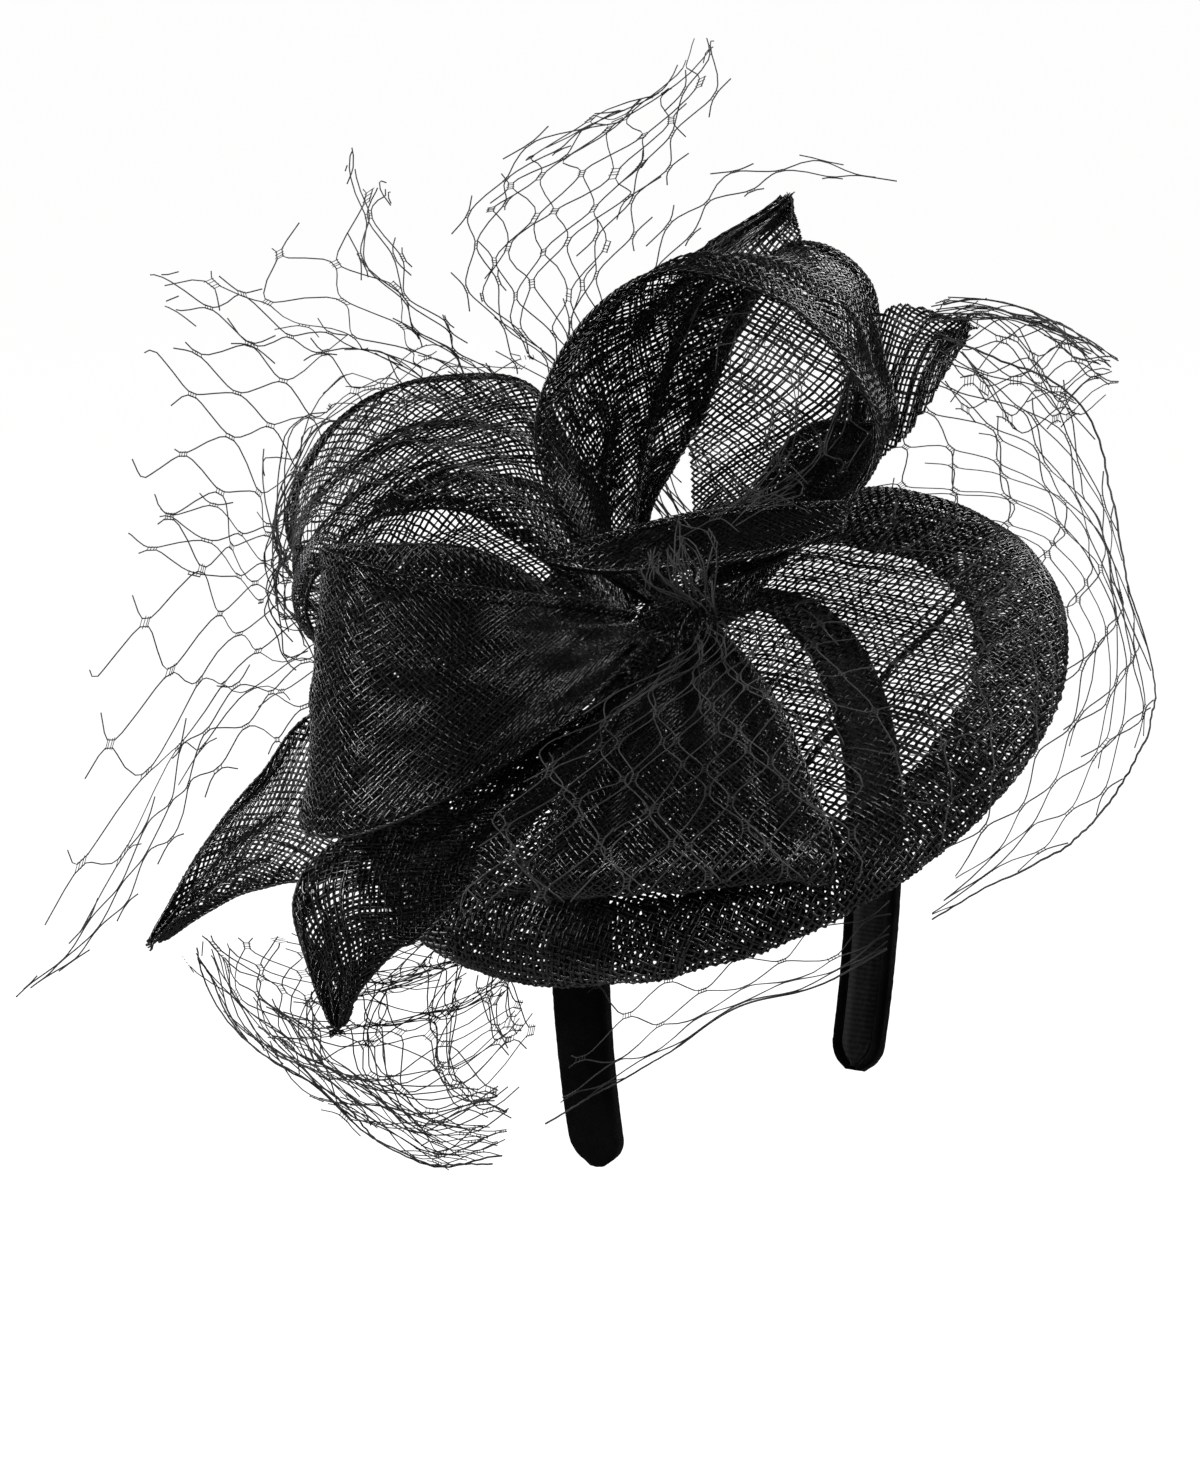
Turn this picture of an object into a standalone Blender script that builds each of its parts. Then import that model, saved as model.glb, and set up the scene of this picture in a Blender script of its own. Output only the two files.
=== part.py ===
"""Ladies' fascinator: a shallow sinamay button base worn tilted over the right brow, trimmed with
four ribbon loops, four cut ribbon tails and open-mesh veiling, all sewn to a velvet covered alice band.

World frame: +Z up, the wearer faces -Y, the wearer's right is -X, origin on the inner face of the
band at the top of its arch.  Trim is laid out in the base's own frame (p, q, h): p runs across the
base towards the crown of the head, q runs towards the back of the head and h is the height above
the base's rim plane.  All lengths in the tables are millimetres.
"""

import bpy
import math
from mathutils import Matrix, Vector

MM = 0.001

# ---- driving dimensions (mm) -------------------------------------------------
BAND_INNER_RADIUS = 67.0
BAND_LEG_DROP = 66.0
BAND_LEG_CURVE_RADIUS = 246.0
BAND_WIDTH_TOP = 18.0
BAND_WIDTH_TIP = 15.0
SHOULDER_DEG = 60.0
SHOULDER_GAP = 0.3
LINING_THICK = 0.6
CORE_LOW = 0.9
CORE_HIGH = 2.9
COVER_LOW = 3.2
COVER_HIGH = 4.0
COVER_SKIN = 0.8

BASE_TILT_DEG = 32.0
BASE_LEAN_DEG = -3.3
BASE_CENTRE = (-41.0, -19.0, -20.0)
CLOTH = 0.9
RIBBON = 0.8
VEIL = 0.5
KNOT = (5.0, 2.0)

BASE_FRAME = (
    Matrix.Translation(Vector(BASE_CENTRE))
    @ Matrix.Rotation(-math.radians(BASE_TILT_DEG), 4, "Y")
    @ Matrix.Rotation(math.radians(BASE_LEAN_DEG), 4, "X")
)


# ---- scene -------------------------------------------------------------------
def clear_scene():
    for obj in list(bpy.data.objects):
        bpy.data.objects.remove(obj, do_unlink=True)
    for mesh in list(bpy.data.meshes):
        bpy.data.meshes.remove(mesh)


def make_collection(name):
    made = bpy.data.collections.new(name)
    bpy.context.scene.collection.children.link(made)
    return made


def make_material(name, colour, roughness):
    mat = bpy.data.materials.new(name)
    mat.use_nodes = True
    shader = mat.node_tree.nodes["Principled BSDF"]
    shader.inputs["Base Color"].default_value = (colour[0], colour[1], colour[2], 1.0)
    shader.inputs["Roughness"].default_value = roughness
    mat.diffuse_color = (colour[0], colour[1], colour[2], 1.0)
    return mat


clear_scene()
PARTS = make_collection("fascinator")
SINAMAY = make_material("sinamay", (0.020, 0.020, 0.021), 0.55)
RIBBON_MAT = make_material("sinamay_ribbon", (0.016, 0.016, 0.017), 0.50)
NETTING = make_material("netting", (0.012, 0.012, 0.013), 0.70)
VELVET = make_material("velvet", (0.010, 0.010, 0.011), 0.95)
LINING = make_material("lining", (0.025, 0.025, 0.026), 0.80)
SPRING = make_material("spring_steel", (0.30, 0.30, 0.31), 0.35)
THREAD = make_material("thread", (0.015, 0.015, 0.016), 0.60)


def add_mesh(name, verts, faces, mat):
    """Object from millimetre points in the world frame."""
    mesh = bpy.data.meshes.new(name)
    mesh.from_pydata([tuple(c * MM for c in v) for v in verts], [], faces)
    mesh.validate()
    mesh.update()
    obj = bpy.data.objects.new(name, mesh)
    obj.data.materials.append(mat)
    PARTS.objects.link(obj)
    return obj


def to_world(point):
    return BASE_FRAME @ Vector(point)


# ---- splines -----------------------------------------------------------------
def spline(points, t):
    """Catmull-Rom through the points, t from 0 to 1 evenly over the spans."""
    last = len(points) - 1
    x = min(max(t, 0.0), 1.0) * last
    i = min(int(x), last - 1)
    f = x - i
    p1 = Vector(points[i])
    p2 = Vector(points[i + 1])
    p0 = Vector(points[i - 1]) if i > 0 else p1 * 2 - p2
    p3 = Vector(points[i + 2]) if i + 2 <= last else p2 * 2 - p1
    a = p1 * 2
    b = (p2 - p0) * f
    c = (p0 * 2 - p1 * 5 + p2 * 4 - p3) * (f * f)
    d = (p1 * 3 - p0 - p2 * 3 + p3) * (f * f * f)
    return (a + b + c + d) * 0.5


def add_sheet(name, stations, thickness, mat, along, across):
    """A thin closed sheet through stations, each a row of points across it in the base frame."""
    lanes = list(zip(*stations))
    verts = []
    for i in range(along + 1):
        row = [spline(lane, i / along) for lane in lanes]
        for j in range(across + 1):
            verts.append(to_world(spline(row, j / across)))
    faces = []
    wide = across + 1
    for i in range(along):
        for j in range(across):
            k = i * wide + j
            faces.append((k, k + 1, k + wide + 1, k + wide))
    obj = add_mesh(name, verts, faces, mat)
    solid = obj.modifiers.new("Solidify", "SOLIDIFY")
    solid.thickness = thickness * MM
    solid.offset = 0.0
    solid.use_even_offset = False
    solid.use_quality_normals = True
    return obj


def add_lathe(name, profile, centre, mat, steps):
    """Solid of revolution about the base's h axis; the profile is a closed (radius, height) outline."""
    verts = []
    for s in range(steps):
        a = 2 * math.pi * s / steps
        for r, h in profile:
            verts.append(to_world((centre[0] + r * math.cos(a), centre[1] + r * math.sin(a), h)))
    count = len(profile)
    faces = []
    for s in range(steps):
        n = (s + 1) % steps
        for k in range(count):
            m = (k + 1) % count
            faces.append((s * count + k, n * count + k, n * count + m, s * count + m))
    return add_mesh(name, verts, faces, mat)


def add_capped_lathe(name, outline, mat, steps):
    """Solid of revolution whose outline starts and ends on the axis, as (radius, height) from top to bottom."""
    top = to_world((0, 0, outline[0][1]))
    bottom = to_world((0, 0, outline[-1][1]))
    ring = outline[1:-1]
    verts = [top, bottom]
    for s in range(steps):
        a = 2 * math.pi * s / steps
        for r, h in ring:
            verts.append(to_world((r * math.cos(a), r * math.sin(a), h)))
    count = len(ring)
    faces = []
    for s in range(steps):
        n = (s + 1) % steps
        a0 = 2 + s * count
        b0 = 2 + n * count
        faces.append((0, a0, b0))
        for k in range(count - 1):
            faces.append((a0 + k, a0 + k + 1, b0 + k + 1, b0 + k))
        faces.append((1, b0 + count - 1, a0 + count - 1))
    return add_mesh(name, verts, faces, mat)


# ---- base --------------------------------------------------------------------
def crown_height(r):
    return 14.0 - 5.0 * (r / 75.0) ** 2


def build_base():
    outer = [(0.0, 14.0)]
    for r in (15.0, 30.0, 45.0, 58.0, 69.0):
        outer.append((r, crown_height(r)))
    outer += [(75.8, 8.6), (81.0, 7.0), (85.4, 4.6), (88.8, 1.6), (91.2, -1.8), (92.0, -5.0), (91.4, -7.6)]
    inner = []
    for i, (r, h) in enumerate(outer):
        if i == 0:
            inner.append((0.0, h - CLOTH))
        else:
            before = outer[i - 1]
            after = outer[min(i + 1, len(outer) - 1)]
            d = Vector((after[0] - before[0], after[1] - before[1])).normalized()
            inner.append((r + d.y * CLOTH, h - d.x * CLOTH))
    add_capped_lathe("crown_shell", outer + inner[::-1], SINAMAY, 56)
    flange = [(90.5, -8.4), (89.9, -9.6), (79.0, -6.4), (68.0, -1.6), (68.0, -0.7), (79.0, -5.4)]
    add_lathe("under_flange", flange[::-1], (0.0, 0.0), SINAMAY, 56)
    wire = []
    for k in range(8):
        a = 2 * math.pi * k / 8
        wire.append((89.2 + 0.7 * math.cos(a), -6.4 + 0.7 * math.sin(a)))
    add_lathe("edge_wire", wire, (0.0, 0.0), SPRING, 56)


# ---- alice band ---------------------------------------------------------------
def band_point(s, side):
    """Point and outward normal on the band's inner face; s is degrees from the top, then mm down the leg."""
    arc = min(s, 90.0)
    a = math.radians(arc)
    x = BAND_INNER_RADIUS * math.sin(a)
    z = -BAND_INNER_RADIUS + BAND_INNER_RADIUS * math.cos(a)
    nx = math.sin(a)
    nz = math.cos(a)
    if s > 90.0:
        b = (s - 90.0) / BAND_LEG_CURVE_RADIUS
        x = BAND_INNER_RADIUS - BAND_LEG_CURVE_RADIUS * (1 - math.cos(b))
        z = -BAND_INNER_RADIUS - BAND_LEG_CURVE_RADIUS * math.sin(b)
        nx = math.cos(b)
        nz = -math.sin(b)
    return Vector((side * x, 0, z)), Vector((side * nx, 0, nz))


LEG_END = 90.0 + 246.0 * math.asin(66.0 / 246.0)


def band_width(s):
    return BAND_WIDTH_TOP + (BAND_WIDTH_TIP - BAND_WIDTH_TOP) * s / LEG_END


def tip_scale(s, trim):
    """Narrows the last millimetres of a leg into a rounded end."""
    radius = BAND_WIDTH_TIP * 0.5
    left = LEG_END - trim - s
    if left >= radius:
        return 1.0
    x = 1.0 - max(left, 0.0) / radius
    return max(math.sqrt(max(1.0 - x * x, 0.0)), 0.30)


def sweep_band(name, stops, section, mat, trim):
    """Sweeps a closed section (list of (across, out) made by section(width)) along the band."""
    verts = []
    count = 0
    for side, s in stops:
        origin, normal = band_point(s, side)
        half = band_width(s) * 0.5 * tip_scale(s, trim)
        outline = section(half)
        count = len(outline)
        for across, out in outline:
            verts.append(origin + normal * out + Vector((0, across, 0)))
    faces = []
    for i in range(len(stops) - 1):
        for k in range(count):
            m = (k + 1) % count
            faces.append((i * count + k, i * count + m, (i + 1) * count + m, (i + 1) * count + k))
    faces.append(tuple(range(count))[::-1])
    last = (len(stops) - 1) * count
    faces.append(tuple(last + k for k in range(count)))
    obj = add_mesh(name, verts, faces, mat)
    return obj


def core_section(half):
    w = half - 1.1
    return [(-w, CORE_LOW), (w, CORE_LOW), (w, CORE_HIGH), (-w, CORE_HIGH)]


def lining_section(half):
    w = max(half - 3.3, 0.8)
    return [(-w, 0.0), (w, 0.0), (w, LINING_THICK), (-w, LINING_THICK)]


def cover_section(half):
    w = half
    lip = max(w - 3.0, 1.1)
    r = 0.8
    i = w - COVER_SKIN
    return [
        (-lip, 0.0), (-lip, LINING_THICK), (-i, LINING_THICK), (-i, COVER_LOW), (i, COVER_LOW),
        (i, LINING_THICK), (lip, LINING_THICK), (lip, 0.0), (w - 0.4, 0.0), (w, 0.4),
        (w, COVER_HIGH - r), (w - r, COVER_HIGH), (-w + r, COVER_HIGH), (-w, COVER_HIGH - r),
        (-w, 0.4), (-w + 0.4, 0.0),
    ]


def arch_stops(limit):
    steps = 16
    return [(1 if a >= 0 else -1, abs(a)) for a in (-limit + 2 * limit * i / steps for i in range(steps + 1))]


def leg_stops(side, start, trim):
    end = LEG_END - trim
    stops = [(side, start), (side, 68.0), (side, 76.0), (side, 84.0), (side, 92.0)]
    s = 104.0
    while s < end - 9.0:
        stops.append((side, s))
        s += 12.0
    for left in (8.0, 6.0, 4.0, 2.4, 1.2, 0.4, 0.0):
        stops.append((side, end - left))
    return stops


def orient(stops, side):
    return stops if side > 0 else stops[::-1]


def build_band():
    half_gap = math.degrees(SHOULDER_GAP * 0.5 / BAND_INNER_RADIUS)
    for part, section, mat, trim in (
        ("core", core_section, SPRING, 1.5),
        ("cover", cover_section, VELVET, 0.0),
        ("lining", lining_section, LINING, 1.0),
    ):
        sweep_band("band_" + part + "_arch", arch_stops(SHOULDER_DEG - half_gap), section, mat, 0.0)
        for label, side in (("right_leg", -1), ("left_leg", 1)):
            stops = leg_stops(side, SHOULDER_DEG + half_gap, trim)
            sweep_band("band_" + part + "_" + label, orient(stops, side), section, mat, trim)


# ---- ribbon loops: rows of (near edge, far edge) ------------------------------
LOOP_UPPER_RIGHT = [
    ((6, 9, 29), (16, 9, 25)),
    ((1, 16, 49), (28, 19, 38)),
    ((8, 20, 81), (63, 22, 42)),
    ((28, 15, 97), (84, 14, 57)),
    ((49, -3, 101), (106, 8, 63)),
    ((57, -25, 86), (111, -7, 49)),
    ((52, -41, 64), (99, -12, 30)),
    ((40, -46, 49), (85, -16, 24)),
    ((19, -34, 39), (70, -2, 34)),
    ((13, -8, 33), (26, -1, 28)),
]
LOOP_LEFT = [
    ((0, 14, 28), (12, 20, 24)),
    ((2, 30, 45), (40, 41, 47)),
    ((-3, 42, 65), (44, 52, 68)),
    ((-19, 54, 76), (31, 71, 80)),
    ((-35, 64, 74), (10, 88, 79)),
    ((-42, 72, 62), (-5, 99, 63)),
    ((-38, 71, 45), (1, 104, 43)),
    ((-23, 54, 32), (38, 90, 41)),
    ((-4, 32, 24), (46, 59, 28)),
    ((5, 19, 20), (19, 24, 18)),
]
LOOP_FRONT_LEFT = [
    ((-4, 6, 33), (-13, -5, 33)),
    ((-22, 9, 53), (-53, -6, 41)),
    ((-39, 14, 70), (-83, 4, 45)),
    ((-49, 27, 82), (-99, 18, 46)),
    ((-51, 39, 88), (-103, 30, 46)),
    ((-44, 51, 85), (-96, 43, 43)),
    ((-24, 50, 70), (-72, 44, 30)),
    ((-9, 40, 57), (-52, 32, 27)),
    ((-4, 28, 42), (-30, 17, 26)),
    ((-4, 14, 26), (-12, 5, 24)),
]
FOLD_LEAF = [
    ((-11, 18, 54), (-9, 20, 54)),
    ((-11, 1, 53), (4, 7, 53)),
    ((-6, -20, 52), (13, -13, 53)),
    ((5, -39, 48), (22, -32, 49)),
    ((16, -51, 47), (27, -46, 46)),
]
LOOP_FRONT_LOW = [
    ((-9, -8, 30), (0, -15, 29)),
    ((-46, -13, 36), (-23, -44, 28)),
    ((-77, -16, 35), (-46, -66, 22)),
    ((-94, -18, 30), (-62, -79, 16)),
    ((-92, -15, 21), (-66, -77, 10)),
    ((-75, -12, 16), (-57, -68, 15)),
    ((-52, -14, 18), (-40, -54, 19)),
    ((-19, -8, 23), (-11, -22, 24)),
]

# ---- ribbon tails, root to cut tip --------------------------------------------
TAIL_LEFT = [
    ((-4, 15, 20), (-10, 10, 20)),
    ((-31, 38, 28), (-44, 28, 21)),
    ((-51, 69, 39), (-81, 52, 15)),
    ((-70, 81, 32), (-91, 68, 17)),
    ((-89, 90, 25), (-99, 80, 18)),
    ((-110, 95, 16), (-111, 93, 14)),
]
TAIL_LOWER_LEFT = [
    ((-12, 5, 20), (-13, 0, 19)),
    ((-57, 22, 23), (-65, 7, 19)),
    ((-85, 46, 21), (-95, 22, 10)),
    ((-97, 51, 16), (-99, 30, 7)),
    ((-106, 50, 6), (-108, 39, 1)),
    ((-114, 46, -5), (-114, 44, -6)),
]
TAIL_TOP = [
    ((18, 7, 19), (24, 5, 18)),
    ((82, 21, 28), (98, -1, 19)),
    ((105, 27, 59), (117, 13, 55)),
    ((121, 19, 69), (123, 17, 67)),
]
TAIL_RIGHT = [
    ((20, -1, 19), (19, -7, 18)),
    ((78, 2, 22), (64, -10, 16)),
    ((112, -6, 40), (91, -19, 19)),
    ((121, -24, 31), (118, -26, 30)),
]


def build_ribbons():
    for name, rows, along in (
        ("loop_upper_right", LOOP_UPPER_RIGHT, 34),
        ("loop_left", LOOP_LEFT, 34),
        ("loop_front_left", LOOP_FRONT_LEFT, 34),
        ("loop_front_low", LOOP_FRONT_LOW, 30),
        ("fold_leaf", FOLD_LEAF, 16),
        ("tail_left", TAIL_LEFT, 16),
        ("tail_lower_left", TAIL_LOWER_LEFT, 14),
        ("tail_top", TAIL_TOP, 12),
        ("tail_right", TAIL_RIGHT, 12),
    ):
        add_sheet(name, rows, RIBBON, RIBBON_MAT, along, 3)


# ---- veiling ------------------------------------------------------------------
VEIL_SIDE = [
    ((35, -8, 19), (85, -24, 27), (102, -29, 40)),
    ((32, -12, 19), (80, -39, 20), (104, -61, 21)),
    ((28, -17, 19), (71, -56, 15), (86, -75, 5)),
    ((24, -21, 18), (61, -72, 12), (61, -89, -5)),
    ((19, -24, 18), (43, -86, 10), (36, -105, -16)),
    ((13, -27, 18), (22, -95, 9), (17, -110, -19)),
    ((6, -31, 18), (-1, -97, 7), (-4, -110, -19)),
    ((-3, -34, 19), (-28, -101, 7), (-30, -104, -15)),
    ((-11, -35, 21), (-49, -97, 6), (-56, -92, -10)),
]
VEIL_HORN = [
    ((96, -28, 51), (106, -31, 42), (90, -36, 30)),
    ((98, -39, 49), (109, -45, 40), (89, -47, 27)),
    ((104, -52, 44), (111, -59, 35), (93, -60, 25)),
    ((105, -70, 33), (108, -73, 29), (99, -72, 25)),
]
VEIL_UNDER = [
    ((-43, -71, -14), (-57, -82, -11), (-61, -81, -15)),
    ((-56, -58, -14), (-69, -72, -13), (-71, -70, -17)),
    ((-67, -44, -14), (-81, -56, -12), (-82, -52, -17)),
    ((-75, -27, -15), (-94, -36, -16), (-96, -31, -24)),
    ((-79, -5, -15), (-107, -10, -23), (-112, -2, -35)),
]
VEIL_POUF = [
    ((-78, 15, -19), (-109, 9, -31), (-114, 15, -48)),
    ((-77, 25, -19), (-115, 27, -29), (-119, 33, -45)),
    ((-75, 35, -18), (-115, 46, -18), (-118, 53, -33)),
    ((-72, 44, -18), (-110, 67, -5), (-114, 76, -17)),
    ((-66, 56, -17), (-97, 83, 5), (-101, 96, 2)),
]
VEIL_LEFT_STRIP = [
    ((11, 55, 12), (4, 57, 12)),
    ((0, 80, 15), (-15, 76, 10)),
    ((-24, 98, 34), (-44, 88, 20)),
    ((-55, 102, 46), (-71, 93, 30)),
    ((-80, 106, 34), (-92, 101, 22)),
    ((-114, 118, 16), (-112, 112, 13)),
    ((-132, 129, 10), (-131, 127, 9)),
]
VEIL_LEFT_UPPER = [
    ((35, 69, 10), (28, 70, 10)),
    ((25, 99, 15), (11, 99, 12)),
    ((14, 111, 43), (-7, 111, 34)),
    ((-4, 112, 62), (-24, 108, 50)),
    ((-11, 115, 72), (-32, 112, 63)),
    ((-16, 124, 79), (-43, 128, 73)),
]
SPRAY_FAR_LEFT = [
    ((51, 59, 10), (56, 56, 10)),
    ((56, 84, 37), (62, 79, 34)),
    ((43, 93, 73), (40, 90, 77)),
    ((30, 94, 97), (18, 94, 93)),
    ((22, 109, 114), (9, 102, 98)),
    ((15, 126, 125), (7, 118, 115)),
]
SPRAY_BACK = [
    ((59, 55, 9), (63, 51, 9)),
    ((66, 79, 32), (72, 73, 30)),
    ((53, 89, 69), (61, 83, 67)),
    ((51, 98, 98), (60, 90, 93)),
    ((71, 103, 121), (69, 94, 108)),
]
SPRAY_CURLED = [
    ((57, 44, 11), (61, 40, 11)),
    ((64, 63, 40), (69, 57, 39)),
    ((56, 72, 75), (62, 64, 73)),
    ((60, 75, 97), (69, 66, 94)),
    ((80, 69, 107), (86, 60, 103)),
    ((96, 59, 110), (97, 53, 104)),
    ((108, 48, 106), (110, 44, 102)),
]
SPRAY_TALL = [
    ((59, 37, 11), (63, 33, 11)),
    ((67, 52, 35), (73, 48, 34)),
    ((70, 58, 64), (77, 50, 59)),
    ((88, 55, 81), (96, 45, 76)),
    ((114, 47, 92), (120, 37, 88)),
    ((134, 42, 102), (137, 33, 95)),
    ((143, 42, 110), (140, 34, 100)),
]
SPRAY_LONG = [
    ((64, 29, 11), (67, 26, 11)),
    ((79, 46, 38), (84, 43, 36)),
    ((83, 48, 60), (88, 43, 57)),
    ((91, 40, 77), (94, 34, 71)),
    ((107, 28, 85), (108, 23, 77)),
    ((125, 13, 79), (123, 9, 74)),
    ((137, -4, 65), (137, -5, 63)),
]
VEIL_FRONT = [
    ((-9, -15, 34), (3, -22, 32)),
    ((-27, -22, 40), (-5, -39, 34)),
    ((-63, -16, 48), (-25, -65, 35)),
    ((-97, -14, 46), (-54, -87, 27)),
    ((-114, -13, 36), (-71, -94, 17)),
]
VEIL_PUFF = [
    ((-16, -21, 49), (-9, -26, 48)),
    ((-17, -19, 57), (-8, -26, 57)),
    ((-12, -15, 60), (-2, -21, 57)),
]


def build_veiling():
    for name, rows, along, across in (
        ("veil_side", VEIL_SIDE, 16, 4),
        ("veil_horn", VEIL_HORN, 8, 4),
        ("veil_under", VEIL_UNDER, 10, 4),
        ("veil_pouf", VEIL_POUF, 10, 4),
        ("veil_left_strip", VEIL_LEFT_STRIP, 14, 2),
        ("veil_left_upper", VEIL_LEFT_UPPER, 12, 2),
        ("veil_spray_far_left", SPRAY_FAR_LEFT, 14, 2),
        ("veil_spray_back", SPRAY_BACK, 10, 2),
        ("veil_spray_curled", SPRAY_CURLED, 14, 2),
        ("veil_spray_tall", SPRAY_TALL, 14, 2),
        ("veil_spray_long", SPRAY_LONG, 14, 2),
        ("veil_front", VEIL_FRONT, 8, 4),
        ("veil_puff", VEIL_PUFF, 6, 2),
    ):
        add_sheet(name, rows, VEIL, NETTING, along, across)


# ---- centre and stitching ------------------------------------------------------
def build_centre():
    outline = [(0.0, 14.1), (3.6, 14.1), (3.6, 21.0), (6.4, 24.0), (7.2, 28.0), (5.6, 32.6), (2.6, 34.8), (0.0, 35.2)]
    verts = []
    steps = 20
    ring = outline[1:-1]
    verts.append(to_world((KNOT[0], KNOT[1], outline[0][1])))
    verts.append(to_world((KNOT[0], KNOT[1], outline[-1][1])))
    for s in range(steps):
        a = 2 * math.pi * s / steps
        for r, h in ring:
            verts.append(to_world((KNOT[0] + r * math.cos(a), KNOT[1] + r * math.sin(a), h)))
    count = len(ring)
    faces = []
    for s in range(steps):
        a0 = 2 + s * count
        b0 = 2 + ((s + 1) % steps) * count
        faces.append((0, b0, a0))
        for k in range(count - 1):
            faces.append((a0 + k, b0 + k, b0 + k + 1, a0 + k + 1))
        faces.append((1, a0 + count - 1, b0 + count - 1))
    add_mesh("centre_fold", verts, faces, RIBBON_MAT)
    ring = []
    for k in range(6):
        a = 2 * math.pi * k / 6
        ring.append((4.4 + 0.45 * math.cos(a), 19.2 + 0.45 * math.sin(a)))
    add_lathe("binding_thread", ring, KNOT, THREAD, 20)


def build_stitches():
    """Zigzag thread between the crown's underside and the top of the band."""
    curve = bpy.data.curves.new("band_stitches", "CURVE")
    curve.dimensions = "3D"
    curve.bevel_depth = 0.35 * MM
    curve.bevel_resolution = 1
    curve.use_fill_caps = True
    line = curve.splines.new("POLY")
    points = []
    for i in range(7):
        points.append((3.0 + 2.2 * i, 14.0 + (10.0 if i % 2 else 0.0), 11.75))
    line.points.add(len(points) - 1)
    for i, point in enumerate(points):
        w = to_world(point) * MM
        line.points[i].co = (w.x, w.y, w.z, 1.0)
    obj = bpy.data.objects.new("band_stitches", curve)
    obj.data.materials.append(THREAD)
    PARTS.objects.link(obj)


build_base()
build_band()
build_ribbons()
build_veiling()
build_centre()
build_stitches()
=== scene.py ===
"""Visual model of the fascinator: sinamay and veiling as real thread geometry, on a padded velvet band.

Lengths in the tables are millimetres.  Trim is laid out in the base's frame (p, q, h), as in the CAD model.
"""
import bmesh
import bpy
import math
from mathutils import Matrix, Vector
import numpy as np


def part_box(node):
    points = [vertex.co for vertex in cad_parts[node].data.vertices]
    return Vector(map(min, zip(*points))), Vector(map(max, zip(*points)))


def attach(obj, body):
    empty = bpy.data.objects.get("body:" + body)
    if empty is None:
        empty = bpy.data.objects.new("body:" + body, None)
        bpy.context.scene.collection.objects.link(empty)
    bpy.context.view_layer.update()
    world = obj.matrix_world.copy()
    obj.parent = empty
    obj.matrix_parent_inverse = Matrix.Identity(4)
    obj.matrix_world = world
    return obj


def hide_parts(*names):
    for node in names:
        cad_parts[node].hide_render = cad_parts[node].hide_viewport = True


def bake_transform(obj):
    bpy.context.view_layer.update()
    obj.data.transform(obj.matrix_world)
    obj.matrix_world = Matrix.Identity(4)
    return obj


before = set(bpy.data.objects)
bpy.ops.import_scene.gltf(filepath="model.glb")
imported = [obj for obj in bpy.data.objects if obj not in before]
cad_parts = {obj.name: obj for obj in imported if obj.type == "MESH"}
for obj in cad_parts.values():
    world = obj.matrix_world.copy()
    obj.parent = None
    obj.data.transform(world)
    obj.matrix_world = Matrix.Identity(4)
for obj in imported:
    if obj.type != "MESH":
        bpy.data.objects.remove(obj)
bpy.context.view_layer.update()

MM = 0.001
TILT = math.radians(32.0)
LEAN = math.radians(-3.3)
CENTRE = np.array([-41.0, -19.0, -20.0])
AXES = np.array([
    [math.cos(TILT), 0.0, math.sin(TILT)],
    [-math.sin(TILT) * math.sin(LEAN), math.cos(LEAN), math.cos(TILT) * math.sin(LEAN)],
    [-math.sin(TILT) * math.cos(LEAN), -math.sin(LEAN), math.cos(TILT) * math.cos(LEAN)],
])


def to_world(points):
    return CENTRE + np.asarray(points, float) @ AXES


def to_base(points):
    return (np.asarray(points, float) - CENTRE) @ AXES.T


def unit(vectors):
    return vectors / np.maximum(np.linalg.norm(vectors, axis=-1, keepdims=True), 1e-9)


# ---- camera, light and stage ---------------------------------------------------
AZIMUTH = math.radians(305.0)
ELEVATION = math.radians(10.0)
LENS = 129.85
SENSOR = 36.0
LOOK_AT = np.array([-63.67, -2.78, -23.61])
DISTANCE = 1300.0
LIGHT_TARGET = np.array([-0.04, -0.03, 0.0])  # in metres, like the places of the lights


def aim(obj, back):
    obj.rotation_mode = "QUATERNION"
    obj.rotation_quaternion = Vector([-c for c in back]).to_track_quat("-Z", "Y")


def make_camera():
    level = math.cos(ELEVATION)
    back = np.array([math.sin(AZIMUTH) * level, -math.cos(AZIMUTH) * level, math.sin(ELEVATION)])
    right = np.array([math.cos(AZIMUTH), math.sin(AZIMUTH), 0.0])
    up = np.cross(back, right)
    data = bpy.data.cameras.new("camera")
    data.lens = LENS
    data.sensor_width = SENSOR
    data.clip_start = 0.05
    data.clip_end = 30.0
    cam = bpy.data.objects.new("camera", data)
    bpy.context.scene.collection.objects.link(cam)
    cam.location = (LOOK_AT + DISTANCE * back) * MM
    aim(cam, back)
    bpy.context.scene.camera = cam
    return right, up, back


RIGHT, UP, BACK = make_camera()


def area_light(name, where, size, power):
    data = bpy.data.lights.new(name, "AREA")
    data.shape = "RECTANGLE"
    data.size = size[0]
    data.size_y = size[1]
    data.energy = power
    lamp = bpy.data.objects.new(name, data)
    bpy.context.scene.collection.objects.link(lamp)
    lamp.location = where
    aim(lamp, where - LIGHT_TARGET)


def lit_by(tree, seen, cast):
    """A shader that looks as bright as seen to the camera but lights the object only as strongly as cast."""
    nodes = tree.nodes
    path = nodes.new("ShaderNodeLightPath")
    mix = nodes.new("ShaderNodeMix")
    mix.data_type = "FLOAT"
    mix.inputs["A"].default_value = cast
    mix.inputs["B"].default_value = seen
    tree.links.new(path.outputs["Is Camera Ray"], mix.inputs["Factor"])
    return mix.outputs["Result"]


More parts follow.
